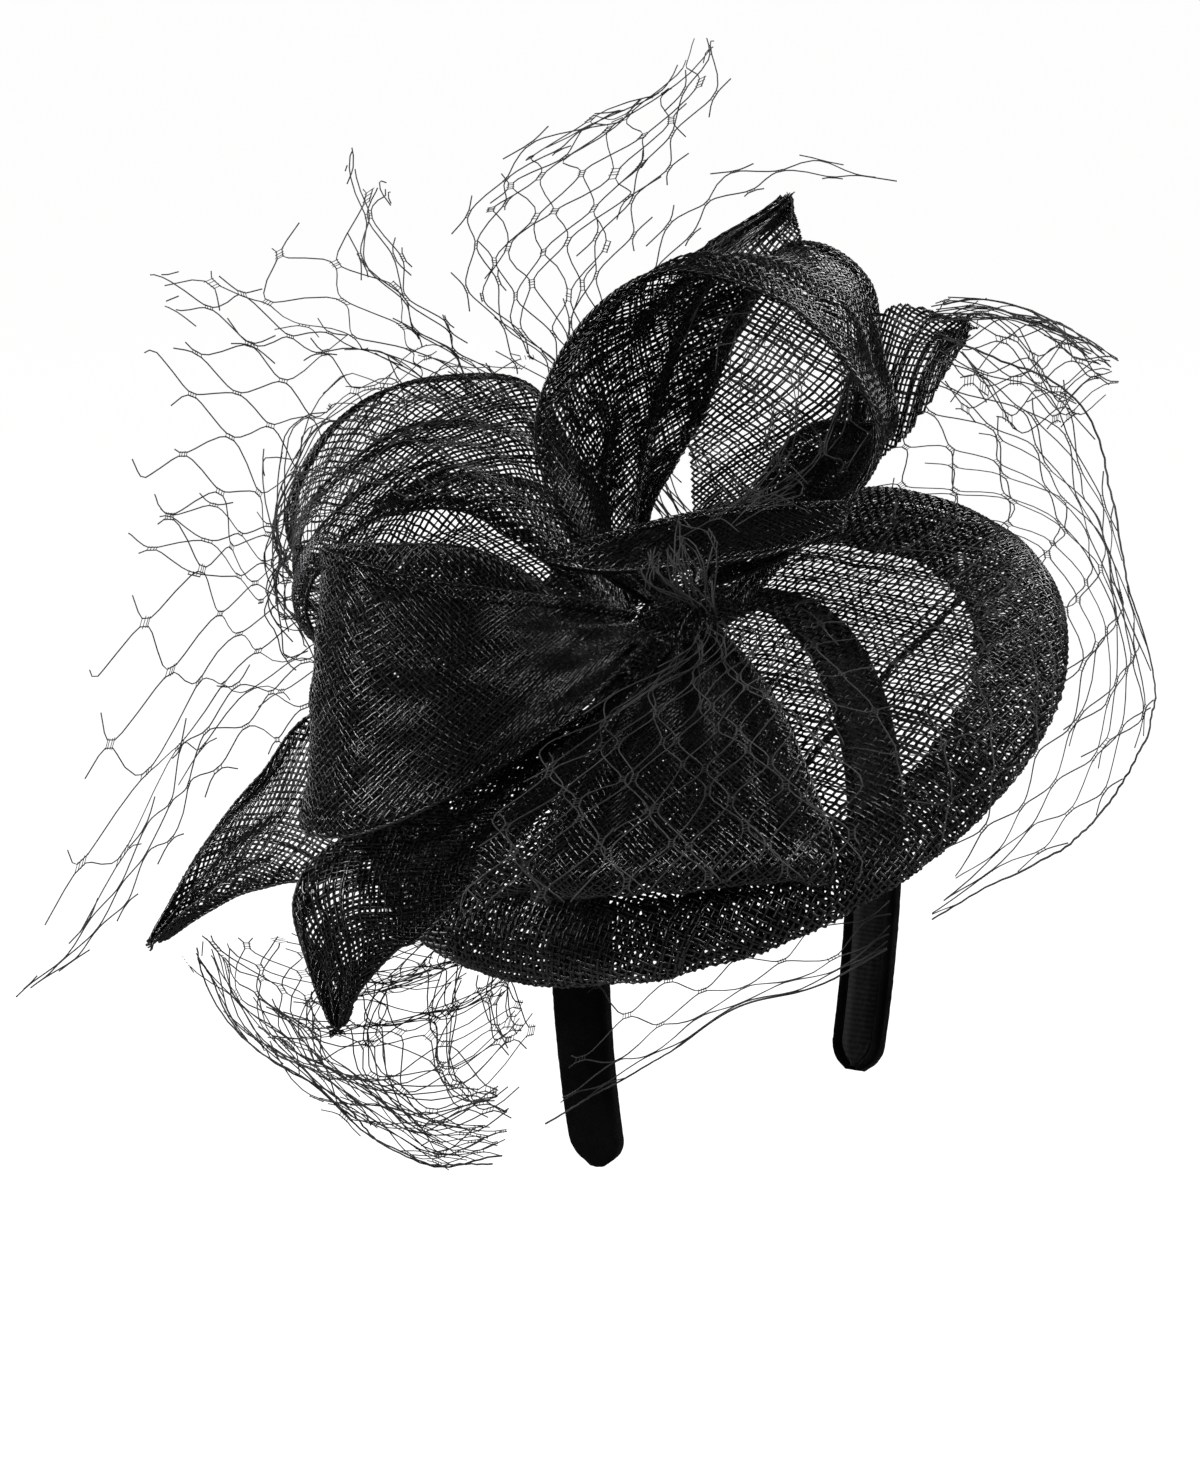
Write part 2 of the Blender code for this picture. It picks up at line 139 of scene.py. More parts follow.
def make_stage():
    world = bpy.data.worlds.new("studio")
    world.use_nodes = True
    back = world.node_tree.nodes["Background"]
    back.inputs["Color"].default_value = (1.0, 1.0, 1.0, 1.0)
    world.node_tree.links.new(lit_by(world.node_tree, 1.0, 0.05), back.inputs["Strength"])
    bpy.context.scene.world = world
    bpy.context.scene.view_settings.view_transform = "Standard"
    mesh = bpy.data.meshes.new("floor")
    half = 30.0
    z = -0.30
    corners = [(-half, -half, z), (half, -half, z), (half, half, z), (-half, half, z)]
    mesh.from_pydata(corners, [], [(0, 1, 2, 3)])
    floor = bpy.data.objects.new("floor", mesh)
    bpy.context.scene.collection.objects.link(floor)
    mat = bpy.data.materials.new("pale_floor")
    mat.use_nodes = True
    shader = mat.node_tree.nodes["Principled BSDF"]
    shader.inputs["Base Color"].default_value = (0.30, 0.30, 0.298, 1)
    shader.inputs["Roughness"].default_value = 0.9
    shader.inputs["Specular IOR Level"].default_value = 0.0
    shader.inputs["Emission Color"].default_value = (1.0, 1.0, 0.995, 1)
    mat.node_tree.links.new(lit_by(mat.node_tree, 0.97, 0.03), shader.inputs["Emission Strength"])
    mesh.materials.append(mat)
    for name, right, up, back_off, size, power in (
        ("key", -0.75, 0.85, 0.95, (0.22, 0.30), 17.0),
        ("side", 1.25, 0.55, 0.30, (0.22, 0.5), 7.0),
        ("rim_left", -1.1, 0.35, -0.55, (0.3, 0.8), 5.0),
        ("rim_right", 0.75, 0.95, -0.6, (0.35, 0.45), 8.0),
        ("low_front", -0.2, 0.25, 1.4, (0.2, 0.2), 4.5),
    ):
        where = RIGHT * right + UP * up + BACK * back_off
        area_light(name, where, size, power)


make_stage()


# ---- materials -----------------------------------------------------------------
class Look:
    """One new material, with short ways to add nodes and to feed its shader."""

    def __init__(self, name, inputs):
        self.mat = bpy.data.materials.new(name)
        self.mat.use_nodes = True
        self.shader = self.mat.node_tree.nodes["Principled BSDF"]
        self.feed(self.shader, inputs)

    def feed(self, node, inputs):
        """Each input takes a value or the output that drives it."""
        for name, value in inputs.items():
            if isinstance(value, bpy.types.NodeSocket):
                self.mat.node_tree.links.new(value, node.inputs[name])
            else:
                node.inputs[name].default_value = value

    def add(self, kind, inputs):
        node = self.mat.node_tree.nodes.new("ShaderNode" + kind)
        self.feed(node, inputs)
        return node

    def math(self, operation, *values):
        node = self.add("Math", {})
        node.operation = operation
        self.feed(node, dict(enumerate(values)))
        return node.outputs["Value"]

    def place(self):
        return self.add("TexCoord", {}).outputs["Object"]

    def noise(self, place, scale, **more):
        return self.add("TexNoise", {"Vector": place, "Scale": scale, **more}).outputs["Fac"]

    def tone(self, value, dark, light, low=0.0, high=1.0):
        """Base colour from dark, where value is low, to light, where it is high."""
        node = self.add("ValToRGB", {"Fac": value})
        for end, position, colour in zip(node.color_ramp.elements, (low, high), (dark, light)):
            end.position = position
            end.color = (*colour, 1)
        self.feed(self.shader, {"Base Color": node.outputs["Color"]})

    def gloss(self, value, smooth, rough, low=0.0, high=1.0):
        """Roughness from smooth, where value is low, to rough, where it is high."""
        node = self.add("MapRange", {"Value": value, "From Min": low, "From Max": high, "To Min": smooth,
            "To Max": rough})
        self.feed(self.shader, {"Roughness": node.outputs["Result"]})

    def bump(self, height, strength, distance):
        node = self.add("Bump", {"Height": height, "Strength": strength, "Distance": distance})
        self.feed(self.shader, {"Normal": node.outputs["Normal"]})


def thread_material(name, base, rough, specular, streak, twist=0.0):
    """Straw or spun thread.  The UV runs along the thread in millimetres (U) and once round it (V):
    streaks follow the fibres, and twist is the lay of a two-ply yarn in millimetres."""
    look = Look(name, {"Specular IOR Level": specular})
    uv = look.add("UVMap", {})
    uv.uv_map = "thread"
    along = look.add("Mapping", {"Vector": uv.outputs["UV"], "Scale": streak}).outputs["Vector"]
    fibre = look.noise(along, 1.0, Detail=3.0, Roughness=0.6)
    patch = look.noise(look.place(), 55.0, Detail=2.0)
    dark = (base * 0.45, base * 0.45, base * 0.47)
    light = (base * 1.9, base * 1.88, base * 1.84)
    look.tone(look.math("MULTIPLY", fibre, patch), dark, light, 0.14, 0.42)
    look.gloss(fibre, rough - 0.06, rough + 0.14, 0.3, 0.7)
    height = fibre
    if twist:
        axis = look.add("SeparateXYZ", {"Vector": uv.outputs["UV"]}).outputs
        turn = look.math("MULTIPLY_ADD", axis["X"], 1.0 / twist, axis["Y"])
        ply = look.math("SINE", look.math("MULTIPLY", turn, 2 * math.pi))
        height = look.math("MULTIPLY_ADD", ply, 0.8, fibre)
    look.bump(height, 0.5, 0.0001)
    return look.mat


def velvet_material():
    """Short pile, laid unevenly."""
    look = Look("velvet_pile", {"Roughness": 0.9, "Specular IOR Level": 0.05, "Sheen Weight": 0.045,
        "Sheen Roughness": 0.35})
    place = look.place()
    pile = look.noise(place, 3200.0, Detail=2.0)
    crush = look.noise(place, 70.0, Detail=4.0, Distortion=0.6)
    look.tone(look.math("MULTIPLY", pile, crush), (0.0012, 0.0012, 0.0013), (0.0085, 0.0084, 0.0085),
        0.14, 0.42)
    look.bump(pile, 0.7, 0.0003)
    return look.mat


RIB_PITCH = 0.0011


def tape_material():
    """Grosgrain lining tape: fine ribs across the band."""
    look = Look("lining_tape", {"Roughness": 0.7, "Specular IOR Level": 0.2})
    place = look.place()
    axis = look.add("SeparateXYZ", {"Vector": place}).outputs
    along = look.math("ADD", look.math("ABSOLUTE", axis["X"]), look.math("MULTIPLY", axis["Z"], -1.0))
    rib = look.math("SINE", look.math("MULTIPLY", along, 2 * math.pi / RIB_PITCH))
    mix = look.math("MULTIPLY_ADD", rib, 0.2, look.noise(place, 900.0))
    look.tone(mix, (0.006, 0.006, 0.0062), (0.024, 0.024, 0.024), 0.25, 0.8)
    look.bump(mix, 0.5, 0.0002)
    return look.mat


def steel_material():
    """Drawn spring wire and strip."""
    look = Look("drawn_steel", {"Metallic": 1.0})
    scratch = look.noise(look.place(), 500.0, Detail=3.0)
    look.tone(scratch, (0.10, 0.10, 0.105), (0.22, 0.22, 0.225))
    look.gloss(scratch, 0.25, 0.5)
    return look.mat


STRAW = thread_material("sinamay_straw", 0.0020, 0.22, 0.55, (0.5, 5.0, 1.0))
RIBBON_STRAW = thread_material("sinamay_ribbon_straw", 0.0018, 0.20, 0.55, (0.5, 5.0, 1.0))
NET = thread_material("veiling_thread", 0.040, 0.5, 0.25, (2.5, 5.0, 1.0), twist=0.9)
COTTON = thread_material("sewing_thread", 0.006, 0.6, 0.2, (3.0, 4.0, 1.0), twist=0.7)
VELVET = velvet_material()
TAPE = tape_material()
STEEL = steel_material()


# ---- numeric helpers -------------------------------------------------------------
NOISE_WAVES = 7


def smooth_noise(x, y, seed, wave):
    """Smooth pseudo-random field of about unit size with that wavelength (mm)."""
    rng = np.random.default_rng(seed)
    total = np.zeros(np.broadcast(x, y).shape)
    for _ in range(NOISE_WAVES):
        a = rng.uniform(0, 2 * math.pi)
        k = 2 * math.pi / (wave * rng.uniform(0.6, 1.7))
        total = total + np.sin(k * (math.cos(a) * x + math.sin(a) * y) + rng.uniform(0, 2 * math.pi))
    return total / math.sqrt(NOISE_WAVES)


def spline(p0, p1, p2, p3, f):
    """Catmull-Rom between p1 and p2, at share f of the way."""
    square = 2 * p0 - 5 * p1 + 4 * p2 - p3
    cube = 3 * p1 - p0 - 3 * p2 + p3
    return 0.5 * (2 * p1 + (p2 - p0) * f + square * f ** 2 + cube * f ** 3)


def catmull(points, t):
    """Catmull-Rom through points (n, ...), t (m,) from 0 to 1, carried on straight outside."""
    points = np.asarray(points, float)
    last = len(points) - 1
    x = np.clip(t, 0, 1) * last
    i = np.minimum(x.astype(int), last - 1)
    f = (x - i).reshape((-1,) + (1,) * (points.ndim - 1))
    padded = np.concatenate([[2 * points[0] - points[1]], points, [2 * points[-1] - points[-2]]])
    p0 = padded[i]
    p1 = padded[i + 1]
    p2 = padded[i + 2]
    p3 = padded[i + 3]
    over = (t - np.clip(t, 0, 1)).reshape(f.shape) * last
    return spline(p0, p1, p2, p3, f) + over * (p2 - p1)


def normals(flat, s, t, e):
    """Unit normals of a sheet, from its points e mm to each side."""
    ds = flat(s + e, t) - flat(s - e, t)
    dt = flat(s, t + e) - flat(s, t - e)
    return unit(np.cross(ds, dt))


def run_length(path):
    """Distance along a path to each of its points."""
    return np.concatenate([[0], np.cumsum(np.linalg.norm(np.diff(path, axis=0), axis=1))])


class Surface:
    """A sheet through stations, each a row of points across.  s runs along it and t across, in mm."""

    def __init__(self, stations, width, ripple=None):
        self.rows = np.asarray(stations, float)
        self.width = width
        self.ripple = ripple
        self.u = np.linspace(0, 1, 241)
        self.along = run_length(catmull(self.rows, self.u).mean(axis=1))
        self.length = self.along[-1]

    def flat(self, s, t):
        u = np.interp(s, self.along, self.u)
        past = np.maximum(s - self.length, 0) + np.minimum(s, 0)
        u = u + past / self.length
        lanes = catmull(self.rows, u.ravel())
        v = (t / self.width).ravel()
        n = lanes.shape[1] - 1
        if n == 1:
            out = lanes[:, 0] + (lanes[:, 1] - lanes[:, 0]) * v[:, None]
        else:
            x = np.clip(v, 0, 1) * n
            i = np.minimum(x.astype(int), n - 1)
            f = (x - i)[:, None]
            pad = np.concatenate([2 * lanes[:, :1] - lanes[:, 1:2], lanes,
                2 * lanes[:, -1:] - lanes[:, -2:-1]], axis=1)
            k = np.arange(len(v))
            p0, p1, p2, p3 = pad[k, i], pad[k, i + 1], pad[k, i + 2], pad[k, i + 3]
            over = (v - np.clip(v, 0, 1))[:, None] * n
            out = spline(p0, p1, p2, p3, f) + over * (p2 - p1)
        return out.reshape(np.shape(s) + (3,))

    def __call__(self, s, t):
        """World points (mm) and unit normals."""
        s = np.asarray(s, float)
        t = np.asarray(t, float)
        here = self.flat(s, t)
        normal = normals(self.flat, s, t, 0.4)
        if self.ripple is not None:
            here = here + normal * self.ripple(s, t)[..., None]
        return to_world(here), normal @ AXES


def mesh_object(name, verts, quads, mat, uv=None):
    """Object from world millimetre points and quads; uv is (quads, 4, 2)."""
    verts = np.asarray(verts, np.float64) * MM
    quads = np.asarray(quads, np.int32)
    mesh = bpy.data.meshes.new(name)
    mesh.vertices.add(len(verts))
    mesh.vertices.foreach_set("co", verts.astype(np.float32).ravel())
    mesh.loops.add(quads.size)
    mesh.loops.foreach_set("vertex_index", quads.ravel())
    mesh.polygons.add(len(quads))
    mesh.polygons.foreach_set("loop_start", np.arange(0, quads.size, 4, dtype=np.int32))
    mesh.polygons.foreach_set("use_smooth", np.ones(len(quads), bool))
    if uv is not None:
        layer = mesh.uv_layers.new(name="thread")
        layer.data.foreach_set("uv", np.asarray(uv, np.float32).ravel())
    mesh.update(calc_edges=True)
    mesh.materials.append(mat)
    obj = bpy.data.objects.new(name, mesh)
    bpy.context.scene.collection.objects.link(obj)
    return obj


RING = np.array([0, 1, 2, 3])


class Builder:
    """Gathers tubes of four-cornered section as vertices and quads, with UVs along and round each tube."""

    def __init__(self):
        self.verts = []
        self.quads = []
        self.uvs = []
        self.count = 0

    def add_sides(self, a, b, ua, ub):
        for k in range(4):
            m = (k + 1) % 4
            self.quads.append(np.stack([a + k, b + k, b + m, a + m], axis=1))
            lo = np.full(len(a), k / 4)
            hi = np.full(len(a), (k + 1) / 4)
            self.uvs.append(np.stack([np.stack([ua, lo], 1), np.stack([ub, lo], 1),
                np.stack([ub, hi], 1), np.stack([ua, hi], 1)], axis=1))

    def add_caps(self, starts, order, u):
        self.quads.append(starts[:, None] + order[None])
        uv = np.zeros((len(starts), 4, 2))
        uv[:, :, 0] = u[:, None]
        uv[:, :, 1] = order[None] / 4
        self.uvs.append(uv)

    def lattice_threads(self, centre, normal, inside, half_w, half_h, along):
        """Threads along axis 1 of the grids (n, m, 3); a segment exists where both its ends are inside."""
        tangent = np.empty_like(centre)
        tangent[:, 1:-1] = centre[:, 2:] - centre[:, :-2]
        tangent[:, 0] = centre[:, 1] - centre[:, 0]
        tangent[:, -1] = centre[:, -1] - centre[:, -2]
        w = unit(np.cross(normal, tangent)) * half_w[..., None]
        h = normal * half_h
        ring = np.stack([centre - w, centre + h, centre + w, centre - h], axis=2)
        seg = inside[:, :-1] & inside[:, 1:]
        used = np.zeros(inside.shape, bool)
        used[:, :-1] |= seg
        used[:, 1:] |= seg
        index = np.full(inside.shape, -1)
        index[used] = np.arange(used.sum())
        self.verts.append(ring[used].reshape(-1, 3))
        self.add_sides(index[:, :-1][seg] * 4 + self.count, index[:, 1:][seg] * 4 + self.count,
            along[:, :-1][seg], along[:, 1:][seg])
        before = np.zeros(inside.shape, bool)
        before[:, 1:] = seg
        after = np.zeros(inside.shape, bool)
        after[:, :-1] = seg
        first = used & ~before
        last = used & ~after
        self.add_caps(index[first] * 4 + self.count, RING, along[first])
        self.add_caps(index[last] * 4 + self.count, RING[::-1], along[last])
        self.count += used.sum() * 4

    def tube(self, path, normal, radius):
        """One tube along path (m, 3) with that normal hint (m, 3)."""
        tangent = np.gradient(path, axis=0)
        side = unit(np.cross(normal, tangent))
        up = unit(np.cross(tangent, side))
        ring = np.stack([path - side * radius, path + up * radius, path + side * radius, path - up * radius],
            axis=1)
        self.verts.append(ring.reshape(-1, 3))
        u = run_length(path) + self.count % 97
        a = np.arange(len(path) - 1) * 4 + self.count
        self.add_sides(a, a + 4, u[:-1], u[1:])
        self.add_caps(np.array([self.count]), RING, u[:1])
        self.add_caps(np.array([self.count + (len(path) - 1) * 4]), RING[::-1], u[-1:])
        self.count += len(path) * 4

    def make(self, name, mat):
        return mesh_object(name, np.concatenate(self.verts), np.concatenate(self.quads), mat,
            np.concatenate(self.uvs))


JITTER = 0.16
SLUB = 0.06
DRIFT = 0.12


def lattice_offsets(count, pitch, rng):
    """Uneven thread positions: small jitter, with now and then two threads lying close together."""
    gaps = pitch * (1 + JITTER * rng.standard_normal(count))
    pairs = rng.random(count) < SLUB
    gaps[pairs] *= 0.62
    gaps = np.clip(gaps, 0.45 * pitch, 1.8 * pitch)
    gaps *= pitch / gaps.mean()
    return np.cumsum(gaps)


def weave(builder, surface, domain, extent, angle, pitch, width, thick, seed, lift=0.0):
    """Plain weave over the surface.

    domain(s, t, i, j, family) says where threads are; extent is ((s0, s1), (t0, t1)).
    """
    rng = np.random.default_rng(seed)
    (s0, s1), (t0, t1) = extent
    ca, sa = math.cos(angle), math.sin(angle)
    corners = np.array([(s0, t0), (s0, t1), (s1, t0), (s1, t1)])
    a_all = corners @ np.array([ca, sa])
    b_all = corners @ np.array([-sa, ca])
    na = int((a_all.max() - a_all.min()) / pitch) + 4
    nb = int((b_all.max() - b_all.min()) / pitch) + 4
    a = a_all.min() - 2 * pitch + lattice_offsets(na, pitch, rng)
    b = b_all.min() - 2 * pitch + lattice_offsets(nb, pitch, rng)
    A, B = np.meshgrid(a, b, indexing="ij")
    wander = smooth_noise(A, B, seed + 1, 14.0)
    A = A + DRIFT * pitch * (wander + 0.5 * rng.standard_normal((na, 1)) * np.sin(B / 9.0))
    wander = smooth_noise(A, B, seed + 2, 14.0)
    B = B + DRIFT * pitch * (wander + 0.5 * rng.standard_normal((1, nb)) * np.sin(A / 9.0))
    A = A + 0.05 * pitch * rng.standard_normal(A.shape)
    B = B + 0.05 * pitch * rng.standard_normal(A.shape)
    S = A * ca - B * sa
    T = A * sa + B * ca
    near = (S > s0 - 9) & (S < s1 + 9) & (T > t0 - 6) & (T < t1 + 6)
    points = np.zeros(S.shape + (3,))
    outward = np.zeros(S.shape + (3,))
    outward[..., 2] = 1
    points[near], outward[near] = surface(S[near], T[near])
    I, J = np.meshgrid(np.arange(na), np.arange(nb), indexing="ij")
    sign = np.where((I + J) % 2 == 0, 1.0, -1.0)[..., None]
    bob = thick * 0.5
    for family in (0, 1):
        inside = near & domain(S, T, I, J, family)
        centre = points + outward * (lift + (bob if family == 0 else -bob) * sign)
        own = 0.16 * rng.standard_normal((na, 1) if family == 0 else (1, nb))
        wide = width * 0.5 * (1 + own + 0.06 * rng.standard_normal(S.shape))
        wide = np.clip(wide, width * 0.28, width * 0.85)
        if family == 0:
            along = B + 37.0 * np.arange(na)[:, None]
            builder.lattice_threads(centre, outward, inside, wide, thick * 0.5, along)
        else:
            along = A + 37.0 * np.arange(nb)[None, :]
            builder.lattice_threads(centre.transpose(1, 0, 2), outward.transpose(1, 0, 2), inside.T,
                wide.T, thick * 0.5, along.T)


def box_domain(s0, s1, t0, t1, fray, seed):
    """Inside a rectangle; at the far end threads run on by random lengths up to fray."""
    rng = np.random.default_rng(seed)
    extra = rng.random((2, 4000)) ** 1.6 * fray

    def inside(S, T, I, J, family):
        key = I if family == 0 else J
        far = s1 + extra[family][key % 4000]
        return (S >= s0) & (S <= far) & (T >= t0) & (T <= t1)

    return inside


# ---- the layout tables (mm, base frame), as in the CAD model -----------------------
LOOP_UPPER_RIGHT = [
    ((6, 9, 29), (16, 9, 25)),
    ((1, 16, 49), (28, 19, 38)),
    ((8, 20, 81), (63, 22, 42)),
    ((28, 15, 97), (84, 14, 57)),
    ((49, -3, 101), (106, 8, 63)),
    ((57, -25, 86), (111, -7, 49)),
    ((52, -41, 64), (99, -12, 30)),
    ((40, -46, 49), (85, -16, 24)),
    ((19, -34, 39), (70, -2, 34)),
    ((13, -8, 33), (26, -1, 28)),
]
LOOP_LEFT = [
    ((0, 14, 28), (12, 20, 24)),
    ((2, 30, 45), (40, 41, 47)),
    ((-3, 42, 65), (44, 52, 68)),
    ((-19, 54, 76), (31, 71, 80)),
    ((-35, 64, 74), (10, 88, 79)),
    ((-42, 72, 62), (-5, 99, 63)),
    ((-38, 71, 45), (1, 104, 43)),
    ((-23, 54, 32), (38, 90, 41)),
    ((-4, 32, 24), (46, 59, 28)),
    ((5, 19, 20), (19, 24, 18)),
]
LOOP_FRONT_LEFT = [
    ((-4, 6, 33), (-13, -5, 33)),
    ((-22, 9, 53), (-53, -6, 41)),
    ((-39, 14, 70), (-83, 4, 45)),
    ((-49, 27, 82), (-99, 18, 46)),
    ((-51, 39, 88), (-103, 30, 46)),
    ((-44, 51, 85), (-96, 43, 43)),
    ((-24, 50, 70), (-72, 44, 30)),
    ((-9, 40, 57), (-52, 32, 27)),
    ((-4, 28, 42), (-30, 17, 26)),
    ((-4, 14, 26), (-12, 5, 24)),
]
FOLD_LEAF = [
    ((-11, 18, 54), (-9, 20, 54)),
    ((-11, 1, 53), (4, 7, 53)),
    ((-6, -20, 52), (13, -13, 53)),
    ((5, -39, 48), (22, -32, 49)),
    ((16, -51, 47), (27, -46, 46)),
]
LOOP_FRONT_LOW = [
    ((-9, -8, 30), (0, -15, 29)),
    ((-46, -13, 36), (-23, -44, 28)),
    ((-77, -16, 35), (-46, -66, 22)),
    ((-94, -18, 30), (-62, -79, 16)),
    ((-92, -15, 21), (-66, -77, 10)),
    ((-75, -12, 16), (-57, -68, 15)),
    ((-52, -14, 18), (-40, -54, 19)),
    ((-19, -8, 23), (-11, -22, 24)),
]
TAIL_LEFT = [
    ((-4, 15, 20), (-10, 10, 20)),
    ((-31, 38, 28), (-44, 28, 21)),
    ((-51, 69, 39), (-81, 52, 15)),
    ((-70, 81, 32), (-91, 68, 17)),
    ((-89, 90, 25), (-99, 80, 18)),
    ((-110, 95, 16), (-111, 93, 14)),
]
TAIL_LOWER_LEFT = [
    ((-12, 5, 20), (-13, 0, 19)),
    ((-57, 22, 23), (-65, 7, 19)),
    ((-85, 46, 21), (-95, 22, 10)),
    ((-97, 51, 16), (-99, 30, 7)),
    ((-106, 50, 6), (-108, 39, 1)),
    ((-114, 46, -5), (-114, 44, -6)),
]
TAIL_TOP = [
    ((18, 7, 19), (24, 5, 18)),
    ((82, 21, 28), (98, -1, 19)),
    ((105, 27, 59), (117, 13, 55)),
    ((121, 19, 69), (123, 17, 67)),
]
TAIL_RIGHT = [
    ((20, -1, 19), (19, -7, 18)),
    ((78, 2, 22), (64, -10, 16)),
    ((112, -6, 40), (91, -19, 19)),
    ((121, -24, 31), (118, -26, 30)),
]
VEIL_SIDE = [
    ((35, -8, 19), (85, -24, 27), (102, -29, 40)),
    ((32, -12, 19), (80, -39, 20), (104, -61, 21)),
    ((28, -17, 19), (71, -56, 15), (86, -75, 5)),
    ((24, -21, 18), (61, -72, 12), (61, -89, -5)),
    ((19, -24, 18), (43, -86, 10), (36, -105, -16)),
    ((13, -27, 18), (22, -95, 9), (17, -110, -19)),
    ((6, -31, 18), (-1, -97, 7), (-4, -110, -19)),
    ((-3, -34, 19), (-28, -101, 7), (-30, -104, -15)),
    ((-11, -35, 21), (-49, -97, 6), (-56, -92, -10)),
]
VEIL_HORN = [
    ((96, -28, 51), (106, -31, 42), (90, -36, 30)),
    ((98, -39, 49), (109, -45, 40), (89, -47, 27)),
    ((104, -52, 44), (111, -59, 35), (93, -60, 25)),
    ((105, -70, 33), (108, -73, 29), (99, -72, 25)),
]
VEIL_UNDER = [
    ((-43, -71, -14), (-57, -82, -11), (-61, -81, -15)),
    ((-56, -58, -14), (-69, -72, -13), (-71, -70, -17)),
    ((-67, -44, -14), (-81, -56, -12), (-82, -52, -17)),
    ((-75, -27, -15), (-94, -36, -16), (-96, -31, -24)),
    ((-79, -5, -15), (-107, -10, -23), (-112, -2, -35)),
]
VEIL_POUF = [
    ((-78, 15, -19), (-109, 9, -31), (-114, 15, -48)),
    ((-77, 25, -19), (-115, 27, -29), (-119, 33, -45)),
    ((-75, 35, -18), (-115, 46, -18), (-118, 53, -33)),
    ((-72, 44, -18), (-110, 67, -5), (-114, 76, -17)),
    ((-66, 56, -17), (-97, 83, 5), (-101, 96, 2)),
]
VEIL_LEFT_STRIP = [
    ((11, 55, 12), (4, 57, 12)),
    ((0, 80, 15), (-15, 76, 10)),
    ((-24, 98, 34), (-44, 88, 20)),
    ((-55, 102, 46), (-71, 93, 30)),
    ((-80, 106, 34), (-92, 101, 22)),
    ((-114, 118, 16), (-112, 112, 13)),
    ((-132, 129, 10), (-131, 127, 9)),
]
VEIL_LEFT_UPPER = [
    ((35, 69, 10), (28, 70, 10)),
    ((25, 99, 15), (11, 99, 12)),
    ((14, 111, 43), (-7, 111, 34)),
    ((-4, 112, 62), (-24, 108, 50)),
    ((-11, 115, 72), (-32, 112, 63)),
    ((-16, 124, 79), (-43, 128, 73)),
]
SPRAY_FAR_LEFT = [
    ((51, 59, 10), (56, 56, 10)),
    ((56, 84, 37), (62, 79, 34)),
    ((43, 93, 73), (40, 90, 77)),
    ((30, 94, 97), (18, 94, 93)),
    ((22, 109, 114), (9, 102, 98)),
    ((15, 126, 125), (7, 118, 115)),
]
SPRAY_BACK = [
    ((59, 55, 9), (63, 51, 9)),
    ((66, 79, 32), (72, 73, 30)),
    ((53, 89, 69), (61, 83, 67)),
    ((51, 98, 98), (60, 90, 93)),
    ((71, 103, 121), (69, 94, 108)),
]
SPRAY_CURLED = [
    ((57, 44, 11), (61, 40, 11)),
    ((64, 63, 40), (69, 57, 39)),
    ((56, 72, 75), (62, 64, 73)),
    ((60, 75, 97), (69, 66, 94)),
    ((80, 69, 107), (86, 60, 103)),
    ((96, 59, 110), (97, 53, 104)),
    ((108, 48, 106), (110, 44, 102)),
]
SPRAY_TALL = [
    ((59, 37, 11), (63, 33, 11)),
    ((67, 52, 35), (73, 48, 34)),
    ((70, 58, 64), (77, 50, 59)),
    ((88, 55, 81), (96, 45, 76)),
    ((114, 47, 92), (120, 37, 88)),
    ((134, 42, 102), (137, 33, 95)),
    ((143, 42, 110), (140, 34, 100)),
]
SPRAY_LONG = [
    ((64, 29, 11), (67, 26, 11)),
    ((79, 46, 38), (84, 43, 36)),
    ((83, 48, 60), (88, 43, 57)),
    ((91, 40, 77), (94, 34, 71)),
    ((107, 28, 85), (108, 23, 77)),
    ((125, 13, 79), (123, 9, 74)),
    ((137, -4, 65), (137, -5, 63)),
]
VEIL_FRONT = [
    ((-9, -15, 34), (3, -22, 32)),
    ((-27, -22, 40), (-5, -39, 34)),
    ((-63, -16, 48), (-25, -65, 35)),
    ((-97, -14, 46), (-54, -87, 27)),
    ((-114, -13, 36), (-71, -94, 17)),
]
VEIL_PUFF = [
    ((-16, -21, 49), (-9, -26, 48)),
    ((-17, -19, 57), (-8, -26, 57)),
    ((-12, -15, 60), (-2, -21, 57)),
]


# ---- sheets worked out from the layout ------------------------------------------------
def sheet_from(rows, out=0.0, near=0.0, far=0.0, start=0, stop=None, centre=None):
    """Rows start to stop of a layout, moved out from centre along its normal and let out at its edges."""
    points = np.asarray(rows, float)[start:stop]
    centre = points.mean(axis=(0, 1)) if centre is None else np.asarray(centre, float)
    across = unit(points[:, -1] - points[:, 0])
    normal = unit(np.cross(np.gradient(points.mean(axis=1), axis=0), across))
    away = np.sum(normal * (points.mean(axis=1) - centre), axis=1, keepdims=True)
    points = points + out * (normal * np.sign(away))[:, None]
    swell = np.sin(np.linspace(0, math.pi, len(points)))[:, None]
    points[:, 0] -= across * near * swell
    points[:, -1] += across * far * swell
    return points


def sheet_between(*layouts, stations=6):
    """A sheet whose lanes are the middle lines of these layouts, in order across it."""
    u = np.linspace(0, 1, stations)
    return np.stack([catmull(np.asarray(rows, float), u).mean(axis=1) for rows in layouts], axis=1)


